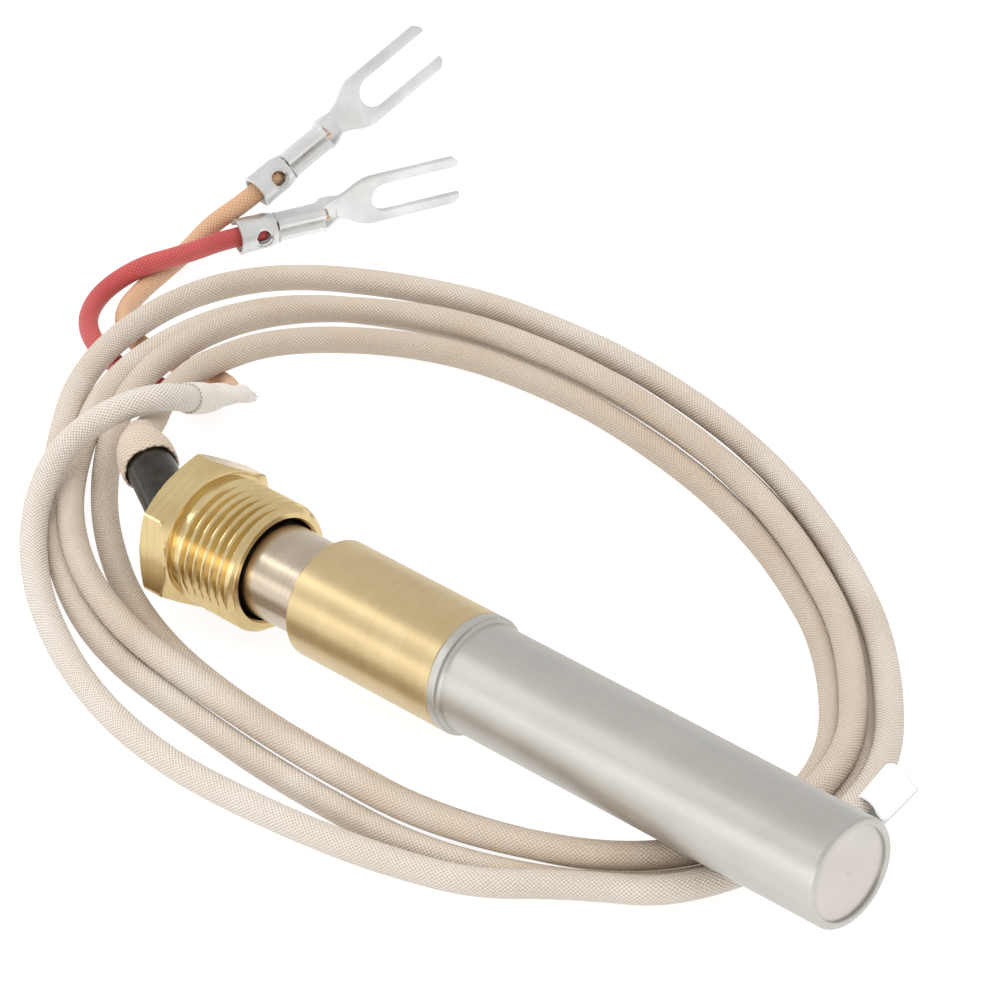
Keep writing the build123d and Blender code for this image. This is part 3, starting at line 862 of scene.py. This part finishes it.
def hexagon(angle):
    """Distance from the axis to a hexagon with slightly rounded corners."""
    total = 0.0
    for side in range(6):
        flat = NUT_TURN + math.pi / 6 + side * math.pi / 3
        total += max(0.0, math.cos(angle - flat) / (NUT_AF / 2)) ** CORNER_SHARPNESS
    return total ** (-1 / CORNER_SHARPNESS)


def nut_radius(x, angle):
    """Outside of the nut: a helical thread that runs out at a plain collar, then the chamfered hexagon."""
    if x < NUT_HEX_FRONT + 0.001:
        edge = min(NUT_HEX_FRONT - x, x - NUT_REAR)
        cone = NUT_AF / 2 - 0.25 + 1.72 * min(edge, 1.0)
        return min(hexagon(angle), cone)
    lead_in = THREAD_R - LEAD_IN + (NUT_FRONT - x) if x > NUT_FRONT - LEAD_IN else THREAD_R
    if x < THREAD_LAST:
        fade = min(1.0, (THREAD_LAST - x) / 0.25)
        return THREAD_R + (NUT_COLLAR_R - THREAD_R) * fade
    phase = ((NUT_FRONT - 0.5 - x) / THREAD_PITCH - angle / (2 * math.pi)) % 1.0
    flank = abs(phase - 0.5) * 2
    groove = min(1.0, max(0.0, (0.86 - flank) / 0.74))
    runout = min(1.0, max(0.0, (x - THREAD_LAST) / 0.6))
    return min(lead_in, THREAD_R - THREAD_DEPTH * groove * runout)


def add_nut(material):
    around = NUT_AROUND
    thread_steps = int((NUT_FRONT - NUT_HEX_FRONT) / THREAD_STEP)
    hex_steps = int((NUT_HEX_FRONT - NUT_REAR) / HEX_STEP)
    xs = [NUT_FRONT - THREAD_STEP * step for step in range(thread_steps + 1)]
    xs.append(NUT_HEX_FRONT - 0.0001)
    xs += [NUT_HEX_FRONT - HEX_STEP * step for step in range(1, hex_steps + 1)]
    angles = [2 * math.pi * index / around for index in range(around)]
    rows = [[(NUT_HEX_FRONT + 2.0, NUT_BORE_R)] * around, [(NUT_HEX_FRONT + 2.5, COUNTERBORE_R)] * around,
            [(NUT_FRONT - 0.3, COUNTERBORE_R)] * around, [(NUT_FRONT, COUNTERBORE_R + 0.28)] * around]
    rows += [[(x, nut_radius(x, angle)) for angle in angles] for x in xs]
    rows += [[(NUT_REAR, NUT_BORE_R + 0.3)] * around, [(NUT_REAR + 0.3, NUT_BORE_R)] * around]

    def build(shape):
        rings = []
        for row in rows:
            ring = []
            for angle, (x, radius) in zip(angles, row):
                y = -radius * math.sin(angle)
                z = radius * math.cos(angle)
                ring.append(shape.verts.new((x * MM, y * MM, z * MM)))
            rings.append(ring)
        for first, second in zip(rings, rings[1:] + rings[:1]):
            for index in range(around):
                after = (index + 1) % around
                shape.faces.new((first[index], first[after], second[after], second[index]))

    mesh = mesh_from("adapter_nut_threaded", build)
    mesh.transform(BODY)
    mesh.polygons.foreach_set("use_smooth", [True] * len(mesh.polygons))
    mesh.set_sharp_from_angle(angle=math.radians(28))
    piece = add_object("adapter_nut_threaded", mesh, material, "nut")
    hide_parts("adapter_nut")


# ---- paper tag ----

TAG_CENTRE = (48.2, 24.9, 4.4)
TAG_WIDTH = 8.0
TAG_LOOP_R = 2.15
TAG_ROWS = 12
TAG_PAPER = 0.12


def add_tag(material):
    """A strip of blank paper folded round the outermost turn, its two ends together as a flag."""
    centre = to_scene(TAG_CENTRE)
    out = Vector((0.99, 0.12, 0)).normalized()
    lift = Vector((0, 0, 1))
    wide = Vector((-0.17, 0.985, 0.04)).normalized()
    path = [(3.3, -0.4), (2.8, -0.2)]
    loop = np.linspace(-0.35, -2 * math.pi + 0.35, 26)
    path += [(TAG_LOOP_R * math.cos(angle), TAG_LOOP_R * math.sin(angle)) for angle in loop]
    path += [(2.8, 0.05), (3.4, 0.1)]

    def build(shape):
        rings = []
        for step in range(TAG_ROWS + 1):
            share = step / TAG_ROWS - 0.5
            ring = []
            for x, y in path:
                curl = 0.35 * share ** 2 * max(0.0, x - 2) * 1.5
                point = centre + (out * x + lift * (y + curl) + wide * (share * TAG_WIDTH)) * MM
                ring.append(shape.verts.new(point))
            rings.append(ring)
        for first, second in zip(rings, rings[1:]):
            for index in range(len(path) - 1):
                shape.faces.new((first[index], first[index + 1], second[index + 1], second[index]))

    mesh = mesh_from("paper_flag", build)
    mesh.polygons.foreach_set("use_smooth", [True] * len(mesh.polygons))
    piece = add_object("paper_flag", mesh, material)
    add_wall(piece, "sheet", TAG_PAPER)
    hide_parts("paper_tag")
    return piece


# ---- put together ----

def dress(finishes):
    """Gives pieces that keep their own shape a better material."""
    for name, material in finishes.items():
        for slot in nodes[name].material_slots:
            slot.material = material


def dress_body():
    sleeve = turned_metal("sleeve_brass", (0.64, 0.505, 0.285), (0.55, 0.42, 0.22), 0.32, 2200, 0.006)
    neck = turned_metal("neck_steel", (0.58, 0.495, 0.395), (0.46, 0.37, 0.27), 0.26, 1800, 0.006)
    bush = turned_metal("bush_steel", (0.45, 0.44, 0.42), (0.32, 0.31, 0.30), 0.4, 1500, 0.006)
    positive = turned_metal("alloy_positive", (0.55, 0.52, 0.48), (0.40, 0.37, 0.34), 0.35, 1500, 0.004)
    negative = turned_metal("alloy_negative", (0.62, 0.48, 0.36), (0.45, 0.33, 0.24), 0.35, 1500, 0.004)
    weld = turned_metal("weld", (0.42, 0.38, 0.36), (0.22, 0.18, 0.17), 0.5, 900, 0.02)
    wire = turned_metal("bare_wire", (0.78, 0.62, 0.50), (0.60, 0.42, 0.30), 0.35, 1500, 0.004)
    ceramic = plain_mineral("ceramic", (0.85, 0.83, 0.77), (0.72, 0.69, 0.62), 600)
    mica = plain_mineral("mica", (0.66, 0.58, 0.42), (0.45, 0.37, 0.24), 300, 0.4)
    dress({
        "hot_tube": tube_steel(), "end_disc": disc_steel(), "brass_sleeve": sleeve, "neck_tube": neck,
        "lead_bush": bush, "lead_out_tube": dark_tubing(), "mandrel": ceramic, "leg_spacers": ceramic,
        "hot_end_pad": plain_mineral("ceramic_fibre", (0.88, 0.87, 0.83), (0.75, 0.73, 0.68), 900),
        "mica_tube": mica, "mica_wrap": mica, "positive_legs": positive, "negative_legs": negative,
        "hot_junctions": weld, "cold_junctions": weld, "take_off_wires": wire,
        "cement_plug": plain_mineral("cement", (0.72, 0.70, 0.64), (0.50, 0.47, 0.42), 500),
        "red_strands": wire, "tan_strands": wire,
    })


def add_floor():
    """A white floor that also glows a little, so that the shadows on it stay faint."""
    bpy.ops.mesh.primitive_plane_add(size=FLOOR_SIZE, location=(0, 0, 0))
    floor = bpy.context.active_object
    floor.name = "floor"
    shader = Shader("floor_white", Roughness=0.9, Emission_Color=(1, 1, 1, 1), Emission_Strength=FLOOR_GLOW)
    dark, light = FLOOR_GREYS
    grain = shader.noise(shader.coords, 3, 2)
    grey = shader.ramp(grain, (0.3, (dark, dark, dark)), (0.7, (light, light, light)))
    floor.data.materials.append(shader.finish(Base_Color=grey))


add_camera()
add_floor()
add_world(WORLD_COLOUR, WORLD_STRENGTH)
add_area("top", (0, 0, 1.5), (0, 0, 0), (2.6, 2.6), 22, mirrored=False)
add_area("front", (0.1, -1.2, 0.18), (0, 0, 0.01), (2.4, 0.34), 4.5)
add_area("side", (-0.9, -0.5, 0.5), (-0.04, 0, 0), (0.25, 0.5), 1.6)
bpy.context.scene.view_settings.view_transform = "Standard"

dress_body()
# The third colour of each braid is painted shade for the hollows between its yarns.
cream = braid("braid", (0.80, 0.735, 0.655), (0.62, 0.50, 0.38), (0.35, 0.25, 0.17),
              CORD_WEAVE, 0.7, 0.2, WHOLE_BRAID)
pale = braid("braid_tail", (0.84, 0.82, 0.77), (0.76, 0.71, 0.64), (0.52, 0.45, 0.37),
             CORD_WEAVE, 0.7, 0.16)
red = braid("red_fibre", (0.60, 0.10, 0.09), (0.42, 0.045, 0.045), (0.22, 0.015, 0.015),
            LEAD_WEAVE, 0.55, 0.05)
tan = braid("tan_fibre", (0.70, 0.46, 0.29), (0.56, 0.32, 0.17), (0.34, 0.17, 0.08),
            LEAD_WEAVE, 0.55, 0.05)
tin_plate = tin()
dress({"inner_red_lead": red, "inner_tan_lead": tan, "lead_ferrules": tin_plate})

cord, cord_line, cord_length = add_main_cord(cream)
mouth = add_braid_mouth(cord_line, cream)
tail, tail_path = add_tail(cord_line, pale)
frays = add_frays(tail_path, pale)
red_lead, red_line, red_length = add_lead("red_lead_wire", "red_lead", RED_ROUTE, RED_FORK, red)
tan_lead, tan_line, tan_length = add_lead("tan_lead_wire", "tan_lead", TAN_ROUTE, TAN_FORK, tan)
red_fork = add_fork("red_fork_terminal", "red_fork", RED_FORK, tin_plate)
tan_fork = add_fork("tan_fork_terminal", "tan_fork", TAN_FORK, tin_plate)
add_nut(turned_metal("nut_brass", (0.72, 0.565, 0.30), (0.55, 0.41, 0.19), 0.2, 1800, 0.006))
tag = add_tag(plain_mineral("tag_paper", (0.86, 0.86, 0.86), (0.78, 0.78, 0.78), 500, 0.8))

print("cord", round(cord_length, 3), "red", round(red_length, 4), "tan", round(tan_length, 4))
